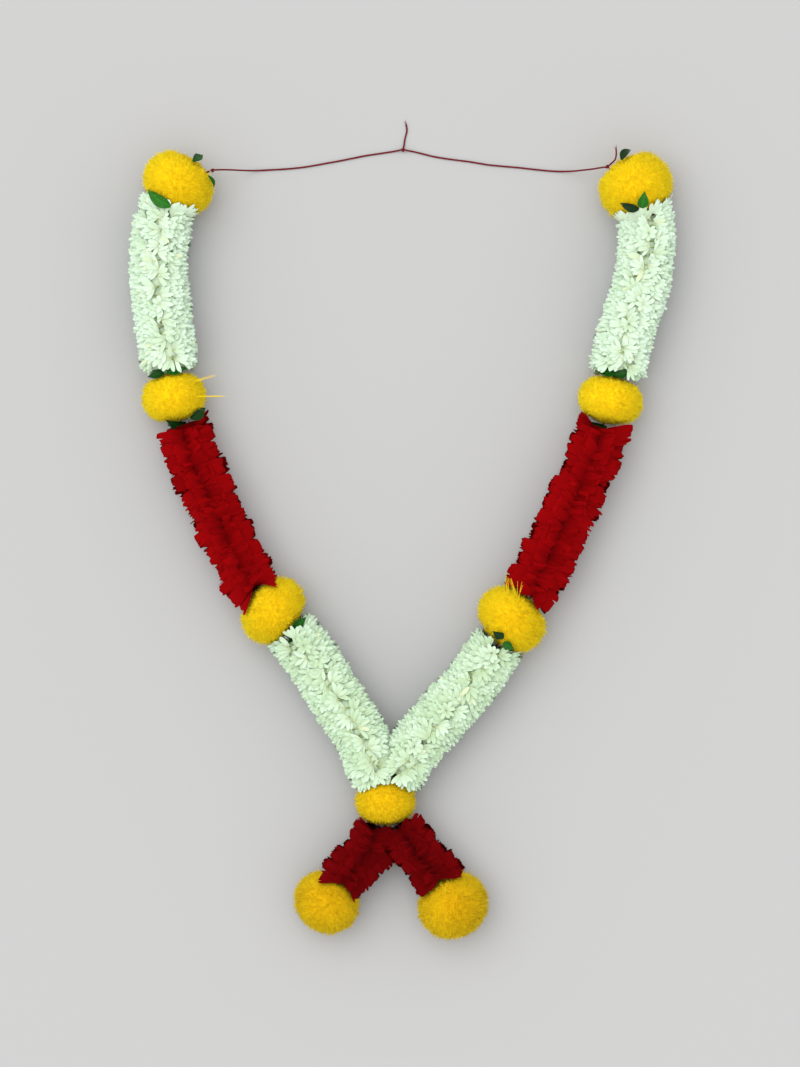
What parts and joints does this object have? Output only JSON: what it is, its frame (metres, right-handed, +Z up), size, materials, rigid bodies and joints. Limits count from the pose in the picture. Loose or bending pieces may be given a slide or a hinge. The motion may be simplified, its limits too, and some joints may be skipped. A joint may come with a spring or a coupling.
{
  "type": "marigold garland",
  "caption": "Festive neck garland of yellow marigold pom-poms, white blossom and red petal strands with leaf collars, tied by a thread at the top and ending in a two-armed tassel",
  "frame": {"origin": "On the surface that the garland lies on, under the middle of the garland, its free tie threads left out", "axes": "+X to the right and +Y from the tassel towards the tie thread, seen from above; +Z up from the surface"},
  "size_m": [0.4403, 0.6534, 0.055],
  "materials": {
    "marigold_yellow": "cut fibre, matte",
    "blossom_white": "stiffened, soft sheen",
    "petal_red": "velvet, pinked edges",
    "tassel_red": "velvet, pinked edges",
    "leaf_green": "glazed cloth",
    "thread_red": "twisted thread"
  },
  "bodies": {
    "root": {"end_knot_left": "thread_red", "end_knot_right": "thread_red", "leaves_centre_lower": "leaf_green", "leaves_centre_upper": "leaf_green", "leaves_lower_left_inner": "leaf_green", "leaves_lower_left_outer": "leaf_green", "leaves_lower_right_inner": "leaf_green", "leaves_lower_right_outer": "leaf_green", "leaves_top_left_inner": "leaf_green", "leaves_top_left_outer": "leaf_green", "leaves_top_right_inner": "leaf_green", "leaves_top_right_outer": "leaf_green", "leaves_upper_left_inner": "leaf_green", "leaves_upper_left_outer": "leaf_green", "leaves_upper_right_inner": "leaf_green", "leaves_upper_right_outer": "leaf_green", "marigold_centre": "marigold_yellow", "marigold_lower_left": "marigold_yellow", "marigold_lower_right": "marigold_yellow", "marigold_tassel_left": "marigold_yellow", "marigold_tassel_right": "marigold_yellow", "marigold_top_left": "marigold_yellow", "marigold_top_right": "marigold_yellow", "marigold_upper_left": "marigold_yellow", "marigold_upper_right": "marigold_yellow", "red_petals_left_1": "petal_red", "red_petals_left_2": "petal_red", "red_petals_left_3": "petal_red", "red_petals_left_4": "petal_red", "red_petals_right_1": "petal_red", "red_petals_right_2": "petal_red", "red_petals_right_3": "petal_red", "red_petals_right_4": "petal_red", "red_petals_tassel_left_1": "tassel_red", "red_petals_tassel_left_2": "tassel_red", "red_petals_tassel_right_1": "tassel_red", "red_petals_tassel_right_2": "tassel_red", "stringing_thread_left": "thread_red", "stringing_thread_right": "thread_red", "tassel_knot_left": "thread_red", "tassel_knot_right": "thread_red", "tie_knot": "thread_red", "tie_thread_left": "thread_red", "tie_thread_right": "thread_red", "white_blossoms_lower_left_1": "blossom_white", "white_blossoms_lower_left_2": "blossom_white", "white_blossoms_lower_left_3": "blossom_white", "white_blossoms_lower_left_4": "blossom_white", "white_blossoms_lower_right_1": "blossom_white", "white_blossoms_lower_right_2": "blossom_white", "white_blossoms_lower_right_3": "blossom_white", "white_blossoms_lower_right_4": "blossom_white", "white_blossoms_upper_left_1": "blossom_white", "white_blossoms_upper_left_2": "blossom_white", "white_blossoms_upper_left_3": "blossom_white", "white_blossoms_upper_left_4": "blossom_white", "white_blossoms_upper_right_1": "blossom_white", "white_blossoms_upper_right_2": "blossom_white", "white_blossoms_upper_right_3": "blossom_white", "white_blossoms_upper_right_4": "blossom_white"}
  },
  "joints": []
}
